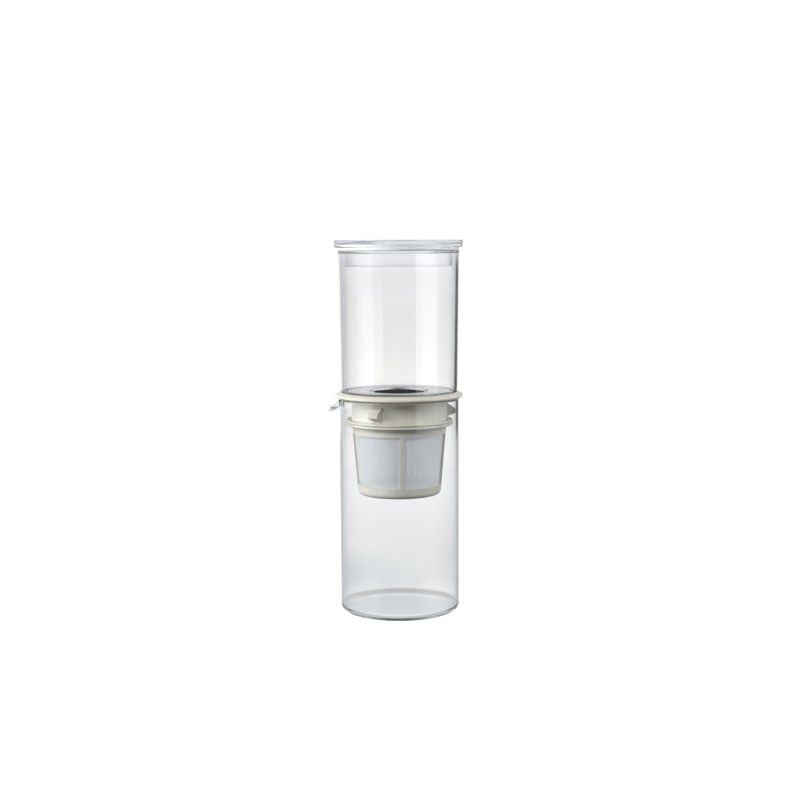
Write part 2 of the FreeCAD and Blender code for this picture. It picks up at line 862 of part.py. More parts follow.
def make_lid():
    """Clear moulded lid: shallow top, hanging rim and a skirt that reaches into the tank."""
    rim_low = tank_rim + cell("lid_lift")
    plate_top = lid_top - cell("lid_recess")
    plate_under = plate_top - cell("lid_plate")
    skirt_low = tank_rim - cell("lid_skirt_length")
    lid_skirt_bore = lid_skirt_radius - cell("lid_skirt_wall")
    rim_top_bore = lid_radius - cell("lid_rim_wall")
    skirt_rounding = cell("lid_skirt_wall") * 0.4
    return turned_body(
        "lid",
        [
            (0, plate_under),
            (lid_skirt_bore, plate_under, cell("lid_top_rounding")),
            (lid_skirt_bore, skirt_low, skirt_rounding),
            (lid_skirt_radius, skirt_low, skirt_rounding),
            (lid_skirt_radius, plate_under),
            (lid_rim_bore, plate_under),
            (lid_rim_bore, rim_low),
            (lid_low_radius, rim_low, cell("lid_low_rounding")),
            (lid_radius, lid_top, cell("lid_top_rounding")),
            (rim_top_bore, lid_top, cell("lid_top_rounding")),
            (rim_top_bore - cell("lid_recess"), plate_top),
            (0, plate_top),
        ],
    )


def make_lid_seal():
    """Silicone ring round the skirt, whose lip lies on the tank's rim."""
    gap = cell("lid_seal_gap")
    inner = lid_skirt_radius + gap
    outer = lid_rim_bore - cell("lid_seal_clearance")
    low = tank_rim + gap
    high = lid_top - cell("lid_recess") - cell("lid_plate") - gap
    lip_top = low + cell("lid_seal_lip")
    return turned_body(
        "lid_seal",
        [
            (inner, low),
            (outer, low, cell("lid_seal_lip") * 0.3),
            (outer, lip_top, cell("lid_seal_lip") * 0.3),
            (inner + cell("lid_seal_body_width"), lip_top),
            (inner + cell("lid_seal_body_width"), high),
            (inner, high),
        ],
    )


PIECES = (
    make_server,
    make_holder,
    make_strainer_frame,
    make_side_mesh,
    make_bottom_mesh,
    make_strainer_seal,
    make_shower_plate,
    make_tank,
    make_nozzle_grommet,
    make_drip_plate,
    make_plate_gasket,
    make_filter_ring,
    make_filter_mesh,
    make_drip_nozzle,
    make_lid,
    make_lid_seal,
)

bodies = [make() for make in PIECES]
doc.recompute()

for item in doc.Objects:
    if "Invalid" in item.State or "Error" in item.State:
        raise RuntimeError(f"{item.Name} did not compute: {item.State}")
for body in bodies:
    if body.Shape.isNull() or not body.Shape.isValid() or len(body.Shape.Solids) != 1:
        raise RuntimeError(f"{body.Name} is not one valid solid")

os.makedirs("parts", exist_ok=True)
for body in bodies:
    body.Shape.exportStep(f"parts/{body.Name}.step")
    box = body.Shape.BoundBox
    print(f"{body.Name:16s} {body.Shape.Volume:10.1f} mm3  z {box.ZMin:7.2f} to {box.ZMax:7.2f}")
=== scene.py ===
"""Cold drip coffee tower on a white studio floor.

From the floor up: a glass server, a moulded holder on its rim with a mesh strainer below it, a clear
water tank with its drip plate and nozzle, and a clear lid. Lengths are metres, angles are degrees.
"""

import math

import bmesh
import bpy
from mathutils import Matrix, Vector


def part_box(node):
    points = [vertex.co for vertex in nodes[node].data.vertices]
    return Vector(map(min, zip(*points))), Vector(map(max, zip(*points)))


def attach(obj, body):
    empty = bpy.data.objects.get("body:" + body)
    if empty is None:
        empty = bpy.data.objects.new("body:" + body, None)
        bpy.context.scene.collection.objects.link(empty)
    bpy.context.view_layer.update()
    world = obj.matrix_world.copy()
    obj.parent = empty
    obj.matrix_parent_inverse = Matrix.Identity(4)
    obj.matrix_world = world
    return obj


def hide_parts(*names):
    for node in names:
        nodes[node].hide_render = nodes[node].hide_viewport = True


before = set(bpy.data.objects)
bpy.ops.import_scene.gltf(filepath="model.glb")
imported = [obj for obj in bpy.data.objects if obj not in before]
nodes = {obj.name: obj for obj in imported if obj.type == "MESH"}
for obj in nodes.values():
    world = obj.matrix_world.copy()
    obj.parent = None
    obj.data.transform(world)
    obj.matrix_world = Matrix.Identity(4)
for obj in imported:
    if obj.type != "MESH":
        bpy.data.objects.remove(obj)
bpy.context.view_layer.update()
scene = bpy.context.scene
scene.view_settings.view_transform = "Standard"
# A ray crosses many skins of glass and resin on its way through the tower
scene.cycles.max_bounces = 24
scene.cycles.glossy_bounces = 24
scene.cycles.transmission_bounces = 24
scene.cycles.transparent_max_bounces = 32


# ---------------------------------------------------------------------------------------------------
# Camera: a long lens at the height of the lid, tipped down so that the tower stands in the middle of
# the picture, and leaning by a fraction of a degree.
# ---------------------------------------------------------------------------------------------------

CAMERA_PLACE = Vector((0.0007, -1.193, 0.297))
CAMERA_TIP = 6.0885
CAMERA_LEAN = -0.29
CAMERA_LENS = 67.5
CAMERA_SENSOR = 36.0

camera = bpy.data.objects.new("camera", bpy.data.cameras.new("camera"))
scene.collection.objects.link(camera)
camera.data.lens = CAMERA_LENS
camera.data.sensor_width = CAMERA_SENSOR
camera.data.clip_start = 0.05
camera.data.clip_end = 50.0
camera.matrix_world = (
    Matrix.Translation(CAMERA_PLACE)
    @ Matrix.Rotation(math.radians(90 - CAMERA_TIP), 4, "X")
    @ Matrix.Rotation(math.radians(CAMERA_LEAN), 4, "Z")
)
scene.camera = camera


# ---------------------------------------------------------------------------------------------------
# Room: a white studio. The eye sees plain white, and through both walls of a vessel it sees a
# pale backdrop, brightest a little below the horizon. What glass and steel mirror, and what shows
# through one wall alone, is two tall softboxes, the dark room beside them and the bright backdrop.
# ---------------------------------------------------------------------------------------------------


def add_node(tree, kind, inputs=None, **settings):
    """Adds a node with its settings. Each named or numbered input gets a value or another node's socket."""
    made = tree.nodes.new(kind)
    for name, value in settings.items():
        setattr(made, name, value)
    for key, value in (inputs or {}).items():
        if isinstance(value, bpy.types.NodeSocket):
            tree.links.new(value, made.inputs[key])
        else:
            made.inputs[key].default_value = value
    return made


def calculate(tree, operation, *values):
    """The result of a Math node."""
    return add_node(tree, "ShaderNodeMath", dict(enumerate(values)), operation=operation).outputs[0]


def colour_steps(tree, share, steps):
    """The colour that a list of (place from 0 to 1, (red, green, blue)) gives at a share."""
    ramp = add_node(tree, "ShaderNodeValToRGB", {0: share})
    stops = ramp.color_ramp.elements
    while len(stops) < len(steps):
        stops.new(1.0)
    for stop, (place, colour) in zip(stops, steps):
        stop.position = place
        stop.color = (*colour, 1.0)
    return ramp.outputs[0]


def pick_colour(tree, choice, off, on):
    """One colour or, where choice is 1, another."""
    mix = add_node(tree, "ShaderNodeMix", {0: choice, 6: off, 7: on}, data_type="RGBA")
    return mix.outputs[2]


# A list of colours holds 0 to 1, so each is divided by this and the result is scaled back
BRIGHTEST = 1.6
# What is mirrored, by the compass angle from the camera's side, left negative
MIRRORED = (
    (-180, (1.0, 1.0, 1.0)),
    (-160, (1.0, 1.0, 1.0)),
    (-150, (0.48, 0.50, 0.54)),
    (-130, (0.11, 0.12, 0.14)),
    (-100, (0.11, 0.12, 0.14)),
    (-90, (0.34, 0.35, 0.38)),
    (-84, (0.85, 0.85, 0.85)),
    (-54, (0.85, 0.85, 0.85)),
    (-47, (0.05, 0.05, 0.05)),
    (32.5, (0.05, 0.05, 0.05)),
    (34.5, (1.3, 1.3, 1.32)),
    (78, (1.3, 1.3, 1.32)),
    (84, (0.6, 0.6, 0.6)),
    (117, (0.5, 0.5, 0.5)),
    (130, (0.1, 0.1, 0.1)),
    (160, (0.02, 0.02, 0.02)),
    (168, (1.0, 1.0, 1.0)),
    (180, (1.0, 1.0, 1.0)),
)
# What is mirrored from higher up, as by the drip plate, by the same compass angle
MIRRORED_ABOVE = (
    (-180, (0.2, 0.2, 0.2)),
    (-170, (0.2, 0.2, 0.2)),
    (-155, (1.5, 1.5, 1.53)),
    (-62, (1.5, 1.5, 1.53)),
    (-46, (0.05, 0.05, 0.05)),
    (38, (0.05, 0.05, 0.05)),
    (50, (1.5, 1.5, 1.53)),
    (155, (1.5, 1.5, 1.53)),
    (170, (0.2, 0.2, 0.2)),
    (180, (0.2, 0.2, 0.2)),
)
# How much of it shows, by the angle above the horizon
ABOVE = ((5.6, 0.0), (6.2, 1.0))
# What is seen through both walls of a vessel, by the angle above the horizon
BACKDROP = (
    (-30, (0.90, 0.90, 0.90)),
    (-9, (0.97, 0.97, 0.97)),
    (-5.2, (1.05, 1.045, 1.03)),
    (-4.1, (0.97, 0.97, 0.965)),
    (-2.3, (0.92, 0.92, 0.925)),
    (-1.05, (0.87, 0.875, 0.89)),
    (-0.95, (0.96, 0.98, 1.03)),
    (1.5, (0.96, 0.98, 1.03)),
    (20, (0.86, 0.86, 0.87)),
)
# How much of a pale veil lies over what is mirrored, by the angle above the horizon: little, but for
# a band of light along the horizon and for the table top
VEIL = (
    (-30, 0.9),
    (-7.8, 0.9),
    (-7.0, 0.1),
    (-1.2, 0.1),
    (-0.95, 0.7),
    (0.95, 0.7),
    (1.2, 0.1),
)
VEIL_COLOURS = ((-3, (0.54, 0.56, 0.58)), (-2, (0.78, 0.80, 0.84)))
# A wall has two skins, so a ray that has passed more than these has entered the second wall
THROUGH_BOTH_WALLS = 2.5
ROOM_LIGHT = (0.11, 0.104, 0.08, 1.0)
WHITE = (1.0, 1.0, 1.0, 1.0)
FULL_TURN = 360
HALF_TURN = 180
# A ray's counts are whole numbers, so this tells none from one or more
NONE = 0.5


def by_angle(tree, share, span, levels):
    """The colour that a list of (angle, (red, green, blue)) gives, where share 0.5 is angle 0 of the span."""
    steps = [(angle / span + 0.5, [level / BRIGHTEST for level in colour]) for angle, colour in levels]
    return colour_steps(tree, share, steps)


def share_by_height(tree, height, levels):
    """The share that a list of (angle above the horizon, share) gives at a height."""
    return colour_steps(tree, height, [(angle / HALF_TURN + 0.5, [share] * 3) for angle, share in levels])


def looks_straight(tree):
    """1 for rays that have passed through the skins of both walls and were never mirrored."""
    ray = add_node(tree, "ShaderNodeLightPath").outputs
    through = calculate(tree, "GREATER_THAN", ray["Transmission Depth"], THROUGH_BOTH_WALLS)
    unmirrored = calculate(tree, "LESS_THAN", ray["Glossy Depth"], NONE)
    return calculate(tree, "MULTIPLY", through, unmirrored)


world = bpy.data.worlds.new("studio")
scene.world = world
world.use_nodes = True
tree = world.node_tree
tree.nodes.clear()
way = add_node(tree, "ShaderNodeTexCoord").outputs["Generated"]
parts = add_node(tree, "ShaderNodeSeparateXYZ", {0: way})
# The compass angle and the height, as shares with 0.5 at the camera's side and on the horizon
compass = calculate(
    tree, "ARCTAN2", parts.outputs["X"], calculate(tree, "MULTIPLY", parts.outputs["Y"], -1.0)
)
around = calculate(tree, "MULTIPLY_ADD", compass, 0.5 / math.pi, 0.5)
mirrored = by_angle(tree, around, FULL_TURN, MIRRORED)
mirrored_above = by_angle(tree, around, FULL_TURN, MIRRORED_ABOVE)
steepness = calculate(tree, "ARCSINE", parts.outputs["Z"])
height = calculate(tree, "MULTIPLY_ADD", steepness, 1 / math.pi, 0.5)
ray = add_node(tree, "ShaderNodeLightPath").outputs
above = share_by_height(tree, height, ABOVE)
above = calculate(tree, "MULTIPLY", above, calculate(tree, "GREATER_THAN", ray["Glossy Depth"], NONE))
mirrored = pick_colour(tree, above, mirrored, mirrored_above)
backdrop = by_angle(tree, height, HALF_TURN, BACKDROP)
veil_share = share_by_height(tree, height, VEIL)
veil = by_angle(tree, height, HALF_TURN, VEIL_COLOURS)
mirrored = pick_colour(tree, veil_share, mirrored, veil)
through_glass = pick_colour(tree, looks_straight(tree), mirrored, backdrop)
coloured = pick_colour(tree, ray["Is Transmission Ray"], mirrored, through_glass)
coloured = add_node(
    tree, "ShaderNodeVectorMath", {0: coloured, "Scale": BRIGHTEST}, operation="SCALE"
).outputs[0]
sees_colour = calculate(tree, "MAXIMUM", ray["Is Glossy Ray"], ray["Is Transmission Ray"])
seen = pick_colour(tree, sees_colour, ROOM_LIGHT, coloured)
seen = pick_colour(tree, ray["Is Camera Ray"], seen, WHITE)
light = add_node(tree, "ShaderNodeBackground", {"Color": seen, "Strength": 1.0})
add_node(tree, "ShaderNodeOutputWorld", {"Surface": light.outputs[0]})


# ---------------------------------------------------------------------------------------------------
# Floor: a round white table top. It is lit as it is, with the tower's soft shadow, and light of its own makes
# the rest of it plain white to the eye and nearly so through glass. Through glass that light also carries
# painted shadow: deeper towards the tower, darkest round the glass's foot, and bluish behind the tower on the
# left. Where something mirrors it, the room's veil shows instead.
# ---------------------------------------------------------------------------------------------------

FLOOR_RADIUS = 0.75
FLOOR_SEGMENTS = 96
FLOOR_DROP = 0.0001
FLOOR_COLOUR = (0.5, 0.5, 0.5, 1.0)
BOUNCE_COLOUR = (0.05, 0.048, 0.038, 1.0)
LIFT_TO_THE_EYE = 0.80
# Light of its own through glass, by the distance from the tower's axis. Its dips are painted shadow: a
# painted soft shadow that deepens towards the tower and a painted contact shadow round the glass's foot
THROUGH_GLASS_LIFT_AND_PAINTED_SHADOW = (
    (0.0, 0.66),
    (0.036, 0.66),
    (0.045, 0.16),
    (0.056, 0.05),
    (0.075, 0.45),
    (0.22, 0.42),
    (0.35, 0.49),
    (0.60, 0.68),
    (0.75, 0.70),
)
# A painted soft bluish shadow on the table, behind the tower on the left, as it shows through the glass
PAINTED_SHADOW_PLACE = (-0.10, 0.11, 0.0)
PAINTED_SHADOW_REACH = 0.16
PAINTED_SHADOW_COLOUR = (0.30, 0.42, 0.50, 1.0)
GLASS_TINT = (0.97, 1.0, 1.03, 1.0)

floor_form = bmesh.new()
bmesh.ops.create_circle(floor_form, cap_ends=True, segments=FLOOR_SEGMENTS, radius=FLOOR_RADIUS)
floor_mesh = bpy.data.meshes.new("floor")
floor_form.to_mesh(floor_mesh)
floor_form.free()
floor = bpy.data.objects.new("floor", floor_mesh)
floor.location.z = -FLOOR_DROP
scene.collection.objects.link(floor)


def empty_material(name):
    """A material's node tree with nothing in it, and the material."""
    material = bpy.data.materials.new(name)
    material.use_nodes = True
    material.node_tree.nodes.clear()
    return material.node_tree, material


def give(target, material):
    """Makes a material the only one of an object."""
    target.data.materials.clear()
    target.data.materials.append(material)


tree, floor_finish = empty_material("white_table")
ray = add_node(tree, "ShaderNodeLightPath").outputs
paint = pick_colour(tree, ray["Is Diffuse Ray"], FLOOR_COLOUR, BOUNCE_COLOUR)
matt = add_node(tree, "ShaderNodeBsdfDiffuse", {"Color": paint})
spot = add_node(tree, "ShaderNodeNewGeometry").outputs["Position"]
distance = add_node(tree, "ShaderNodeVectorMath", {0: spot}, operation="LENGTH").outputs["Value"]
# The floor's own light through glass, dimmed by the painted shadows listed above
lift_and_painted_shadow_through_glass = colour_steps(
    tree,
    calculate(tree, "DIVIDE", distance, FLOOR_RADIUS),
    [(reach / FLOOR_RADIUS, (level, level, level)) for reach, level in THROUGH_GLASS_LIFT_AND_PAINTED_SHADOW],
)
# The painted bluish shadow: 1 at its middle, fading to 0 at its reach, where it tints the light through glass
away = add_node(tree, "ShaderNodeVectorMath", {0: spot, 1: PAINTED_SHADOW_PLACE}, operation="DISTANCE")
shade = add_node(
    tree,
    "ShaderNodeMapRange",
    {"Value": away.outputs["Value"], "From Max": PAINTED_SHADOW_REACH, "To Min": 1.0, "To Max": 0.0},
    interpolation_type="SMOOTHSTEP",
)
tint = pick_colour(tree, shade.outputs[0], GLASS_TINT, PAINTED_SHADOW_COLOUR)
lift_and_painted_shadow_through_glass = add_node(
    tree, "ShaderNodeVectorMath", {0: lift_and_painted_shadow_through_glass, 1: tint}, operation="MULTIPLY"
).outputs[0]
eye_lift = (LIFT_TO_THE_EYE, LIFT_TO_THE_EYE, LIFT_TO_THE_EYE, 1.0)
lift = pick_colour(tree, ray["Is Transmission Ray"], (0.0, 0.0, 0.0, 1.0), lift_and_painted_shadow_through_glass)
lift = pick_colour(tree, ray["Is Camera Ray"], lift, eye_lift)
shine = add_node(tree, "ShaderNodeEmission", {"Color": lift, "Strength": 1.0})
both = add_node(tree, "ShaderNodeAddShader", {0: matt.outputs[0], 1: shine.outputs[0]})
unseen = calculate(tree, "MAXIMUM", ray["Is Glossy Ray"], ray["Is Transmission Ray"])
unseen = calculate(tree, "MULTIPLY", unseen, calculate(tree, "SUBTRACT", 1.0, looks_straight(tree)))
gone = add_node(tree, "ShaderNodeBsdfTransparent", {"Color": WHITE})
table = add_node(tree, "ShaderNodeMixShader", {0: unseen, 1: both.outputs[0], 2: gone.outputs[0]})
add_node(tree, "ShaderNodeOutputMaterial", {"Surface": table.outputs[0]})
give(floor, floor_finish)


# ---------------------------------------------------------------------------------------------------
# Lamps: a tall softbox close on the left, one high in front, a weaker one on the right and one
# overhead.
# ---------------------------------------------------------------------------------------------------

TOWER_MIDDLE = Vector((0.0, 0.0, 0.17))


def softbox(name, place, width, tall, power):
    """A rectangular lamp that faces the middle of the tower and isn't mirrored in it."""
    lamp = bpy.data.lights.new(name, "AREA")
    lamp.shape = "RECTANGLE"
    lamp.size = width
    lamp.size_y = tall
    lamp.energy = power
    box = bpy.data.objects.new(name, lamp)
    scene.collection.objects.link(box)
    box.location = place
    box.rotation_euler = (TOWER_MIDDLE - box.location).to_track_quat("-Z", "Y").to_euler()
    box.visible_glossy = False
    box.visible_transmission = False
    box.visible_camera = False


softbox("softbox_left", (-1.0, -0.20, 0.35), 0.5, 0.7, 13.0)
softbox("softbox_right", (0.95, -0.15, 0.45), 0.5, 0.8, 7.5)
softbox("softbox_front", (-0.45, -0.95, 0.85), 0.4, 0.4, 8.0)
softbox("softbox_top", (0.1, 0.0, 1.3), 0.6, 0.6, 1.5)


# ---------------------------------------------------------------------------------------------------
# Server: a straight beaker of heatproof glass with a thick floor, fire-polished at the rim, and a
# small beak pulled out of it while hot. Such glass is faintly wavy and a little blue at its edges.
# ---------------------------------------------------------------------------------------------------

GLASS_BEND = 1.474
# What light keeps of its colour in the thickness of the glass, and how fast it loses the rest
GLASS_DEPTH_COLOUR = (0.52, 0.70, 0.80, 1.0)
GLASS_DEPTH = 3.0
GLASS_WAVE = 0.004
GLASS_SHADE = (0.95, 0.96, 0.97, 1.0)
WAVES_PER_METRE = 30.0
WAVE_HEIGHT = 0.001
WAVE_DETAIL = 1.0
# A skin is an inner one where its place from the axis, in metres, along its normal is under this
INNER_SIDE = 0.002


def seen_from_inside(tree, bend, shade):
    """Where the eye first meets the inner side, as through an open mouth: how much, and that plain skin."""
    spot = add_node(tree, "ShaderNodeTexCoord").outputs
    outwards = add_node(
        tree, "ShaderNodeVectorMath", {0: spot["Object"], 1: (1.0, 1.0, 0.0)}, operation="MULTIPLY"
    )
    facing = add_node(
        tree, "ShaderNodeVectorMath", {0: outwards.outputs[0], 1: spot["Normal"]}, operation="DOT_PRODUCT"
    )
    inner = calculate(tree, "LESS_THAN", facing.outputs["Value"], INNER_SIDE)
    leaving = add_node(tree, "ShaderNodeNewGeometry").outputs["Backfacing"]
    eye = add_node(tree, "ShaderNodeLightPath").outputs["Is Camera Ray"]
    share = calculate(tree, "MULTIPLY", eye, calculate(tree, "MAXIMUM", inner, leaving))
    through = add_node(tree, "ShaderNodeBsdfTransparent", {"Color": shade})
    mirror = add_node(tree, "ShaderNodeBsdfGlossy", {"Color": WHITE, "Roughness": 0.0})
    fresnel = add_node(tree, "ShaderNodeFresnel", {"IOR": bend}).outputs[0]
    shine = calculate(tree, "MULTIPLY", fresnel, calculate(tree, "SUBTRACT", 1.0, leaving))
    plain = add_node(tree, "ShaderNodeMixShader", {0: shine, 1: through.outputs[0], 2: mirror.outputs[0]})
    return share, plain


def noise(tree, place, scale, detail=2.0):
    """A noise from 0 to 1, with so many cells to the metre."""
    cells = {"Vector": place, "Scale": scale, "Detail": detail}
    return add_node(tree, "ShaderNodeTexNoise", cells).outputs["Fac"]


def relief(tree, height, strength, distance):
    """A skin's direction where it follows a height, with a height of 1 standing for a distance."""
    skin = {"Height": height, "Strength": strength, "Distance": distance}
    return add_node(tree, "ShaderNodeBump", skin).outputs[0]


def clear_solid(name, bend, depth_colour, depth, wave, shade):
    """A see-through solid with real thickness: a smooth skin that bends light and lets lamps through."""
    tree, material = empty_material(name)
    place = add_node(tree, "ShaderNodeTexCoord").outputs["Object"]
    bump = relief(tree, noise(tree, place, WAVES_PER_METRE, WAVE_DETAIL), wave, WAVE_HEIGHT)
    skin = add_node(
        tree,
        "ShaderNodeBsdfPrincipled",
        {
            "Base Color": WHITE,
            "Roughness": 0.0,
            "IOR": bend,
            "Transmission Weight": 1.0,
            "Normal": bump,
        },
    )
    through = add_node(tree, "ShaderNodeBsdfTransparent", {"Color": shade})
    ray = add_node(tree, "ShaderNodeLightPath").outputs
    lamps = calculate(tree, "MAXIMUM", ray["Is Shadow Ray"], ray["Is Diffuse Ray"])
    inside_share, plain = seen_from_inside(tree, bend, shade)
    skin = add_node(tree, "ShaderNodeMixShader", {0: inside_share, 1: skin.outputs[0], 2: plain.outputs[0]})
    surface = add_node(tree, "ShaderNodeMixShader", {0: lamps, 1: skin.outputs[0], 2: through.outputs[0]})
    inside = add_node(tree, "ShaderNodeVolumeAbsorption", {"Color": depth_colour, "Density": depth})
    both = {"Surface": surface.outputs[0], "Volume": inside.outputs[0]}
    add_node(tree, "ShaderNodeOutputMaterial", both)
    return material


server_finish = clear_solid(
    "server_glass", GLASS_BEND, GLASS_DEPTH_COLOUR, GLASS_DEPTH, GLASS_WAVE, GLASS_SHADE
)
give(nodes["server"], server_finish)


# ---------------------------------------------------------------------------------------------------
# Holder: a collar moulded in pale warm grey polypropylene, with a satin skin and a fine spark-eroded
# grain. Its flange lies on the server's rim and its fins centre it in the glass.
# ---------------------------------------------------------------------------------------------------

HOLDER_COLOUR = (0.65, 0.635, 0.57)
HOLDER_SATIN = (0.36, 0.50)
HOLDER_DARKER = 0.965
HOLDER_LIGHTER = 1.03
CLOUDS_PER_METRE = 60.0
CLOUD_DETAIL = 3.0
SPARKS_PER_METRE = 2600.0
# How strongly the relief tells, from 0 to 1, and how high it is
SPARK_RELIEF = (0.25, 0.00006)
PLASTIC_BEND = 1.49
GLOW_SHARE = 0.12
GLOW_DEPTH = 0.0015
# Most of a noise lies between these
NOISE_LOW = 0.3
NOISE_HIGH = 0.7


def uneven(tree, grain, lowest, highest):
    """A roughness that follows a noise from a lowest to a highest value."""
    ends = {"From Min": NOISE_LOW, "From Max": NOISE_HIGH, "To Min": lowest, "To Max": highest}
    return add_node(tree, "ShaderNodeMapRange", {"Value": grain, **ends}).outputs[0]


def moulded_plastic(name, colour, satin):
    """Opaque moulded plastic: a little uneven in colour, with a fine grain and a satin skin."""
    tree, material = empty_material(name)
    place = add_node(tree, "ShaderNodeTexCoord").outputs["Object"]
    darker = [level * HOLDER_DARKER for level in colour]
    lighter = [level * HOLDER_LIGHTER for level in colour]
    cloud = noise(tree, place, CLOUDS_PER_METRE, CLOUD_DETAIL)
    tint = colour_steps(tree, cloud, [(NOISE_LOW, darker), (NOISE_HIGH, lighter)])
    grain = noise(tree, place, SPARKS_PER_METRE)
    skin = add_node(
        tree,
        "ShaderNodeBsdfPrincipled",
        {
            "Base Color": tint,
            "Roughness": uneven(tree, grain, *satin),
            "IOR": PLASTIC_BEND,
            "Subsurface Weight": GLOW_SHARE,
            "Subsurface Scale": GLOW_DEPTH,
            "Normal": relief(tree, grain, *SPARK_RELIEF),
        },
    )
    add_node(tree, "ShaderNodeOutputMaterial", {"Surface": skin.outputs[0]})
    return material


holder_finish = moulded_plastic("holder_plastic", HOLDER_COLOUR, HOLDER_SATIN)
give(nodes["holder"], holder_finish)


# ---------------------------------------------------------------------------------------------------
# Strainer frame: a basket of the same plastic, whose spigot is pushed up into the holder's skirt. It
# is moulded round its mesh, so the ribs and bands stand a little proud of the cloth.
# ---------------------------------------------------------------------------------------------------

give(nodes["strainer_frame"], holder_finish)


# ---------------------------------------------------------------------------------------------------
# Side mesh: a sleeve of white woven polyester monofilament, stretched between the basket's bands.
# It is welded along one rib and bellies outwards by a hair in each window.
# ---------------------------------------------------------------------------------------------------

# The basket's ribs and how far they are turned about the axis: the cloth bellies between them
RIBS = 4
RIB_TURN = 3.8
SLEEVE_BELLY = 0.00025
# The basket is 4.76 mm narrower in radius at its foot, 56 mm further down
SLEEVE_TAPER = 4.76 / 56
SLEEVE_THICKNESS = 0.0004
SLEEVE_SEGMENTS = 192
SLEEVE_ROWS = 24
THREAD_PITCH = 0.00055
THREAD_RELIEF = (0.6, 0.00005)
THREAD_ROUGHNESS = 0.5
THREAD_SHEEN = 0.15
# How far a thread rises where it crosses over another, as a share of its own height
CROSSING_RISE = 0.35
# The gaps between threads are where their height, from -1 to 1, is under this
OPEN_BELOW = -0.45
LIGHT_THROUGH = 0.45
MESH_COLOUR = (0.84, 0.85, 0.88)


def woven_polyester(name, colour):
    """Plain weave of fine white thread. The weave follows the piece's UV map, which is in metres."""
    tree, material = empty_material(name)
    cloth = add_node(tree, "ShaderNodeUVMap", uv_map="threads").outputs[0]
    across, along = add_node(tree, "ShaderNodeSeparateXYZ", {0: cloth}).outputs[0:2]
    turns = 2 * math.pi / THREAD_PITCH
    warp = calculate(tree, "COSINE", calculate(tree, "MULTIPLY", across, turns))
    weft = calculate(tree, "COSINE", calculate(tree, "MULTIPLY", along, turns))
    crossing = calculate(tree, "MULTIPLY", warp, weft)
    upper = calculate(tree, "MAXIMUM", warp, weft)
    opening = calculate(tree, "LESS_THAN", upper, OPEN_BELOW)
    height = calculate(tree, "MULTIPLY_ADD", crossing, CROSSING_RISE, upper)
    bump = relief(tree, height, *THREAD_RELIEF)
    cloth_skin = add_node(
        tree,
        "ShaderNodeBsdfPrincipled",
        {
            "Base Color": (*colour, 1.0),
            "Roughness": THREAD_ROUGHNESS,
            "Sheen Weight": THREAD_SHEEN,
            "Normal": bump,
        },
    )
    glow = add_node(tree, "ShaderNodeBsdfTranslucent", {"Color": (*colour, 1.0), "Normal": bump})
    sides = {0: LIGHT_THROUGH, 1: cloth_skin.outputs[0], 2: glow.outputs[0]}
    thread = add_node(tree, "ShaderNodeMixShader", sides)
    hole = add_node(tree, "ShaderNodeBsdfTransparent", {"Color": WHITE})
    surface = add_node(tree, "ShaderNodeMixShader", {0: opening, 1: thread.outputs[0], 2: hole.outputs[0]})
    add_node(tree, "ShaderNodeOutputMaterial", {"Surface": surface.outputs[0]})
    return material


def dressed_piece(name, form, body, replaced):
    """Turns a bmesh into a smooth piece that rides on a body and stands for a CAD node."""
    mesh = bpy.data.meshes.new(name)
    form.to_mesh(mesh)
    form.free()
    for face in mesh.polygons:
        face.use_smooth = True
    piece = bpy.data.objects.new(name, mesh)
    scene.collection.objects.link(piece)
    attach(piece, body)
    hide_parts(replaced)
    return piece


sleeve_low, sleeve_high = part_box("side_mesh")
sleeve_top_radius = sleeve_high.x - SLEEVE_THICKNESS / 2
sleeve_tall = sleeve_high.z - sleeve_low.z
sleeve = bmesh.new()
threads = sleeve.loops.layers.uv.new("threads")
rings = []
for row in range(SLEEVE_ROWS + 1):
    up = row / SLEEVE_ROWS
    level = sleeve_low.z + sleeve_tall * up
    plain = sleeve_top_radius - (sleeve_high.z - level) * SLEEVE_TAPER
    ring = []
    for step in range(SLEEVE_SEGMENTS):
        turn = 2 * math.pi * step / SLEEVE_SEGMENTS
        window = math.sin(RIBS / 2 * (turn - math.radians(RIB_TURN))) ** 2
        radius = plain + SLEEVE_BELLY * (window * 4 * up * (1 - up)) ** 0.5 - SLEEVE_BELLY / 2
        ring.append(sleeve.verts.new((radius * math.cos(turn), radius * math.sin(turn), level)))
    rings.append(ring)
for row in range(SLEEVE_ROWS):
    for step in range(SLEEVE_SEGMENTS):
        after = (step + 1) % SLEEVE_SEGMENTS
        face = sleeve.faces.new(
            (rings[row][step], rings[row][after], rings[row + 1][after], rings[row + 1][step])
        )
        corners = ((step, row), (step + 1, row), (step + 1, row + 1), (step, row + 1))
        for loop, (across, up) in zip(face.loops, corners):
            loop[threads].uv = (
                2 * math.pi * sleeve_top_radius * across / SLEEVE_SEGMENTS,
                sleeve_tall * up / SLEEVE_ROWS,
            )
side_mesh = dressed_piece("mesh_sleeve", sleeve, "strainer", "side_mesh")
mesh_finish = woven_polyester("strainer_mesh", MESH_COLOUR)
give(side_mesh, mesh_finish)


# ---------------------------------------------------------------------------------------------------
# Bottom mesh: a round piece of the same white polyester cloth, cut to the size of the basket's floor
# and welded to the floor ring and its two bars.
# ---------------------------------------------------------------------------------------------------

DISC_SEGMENTS = 96

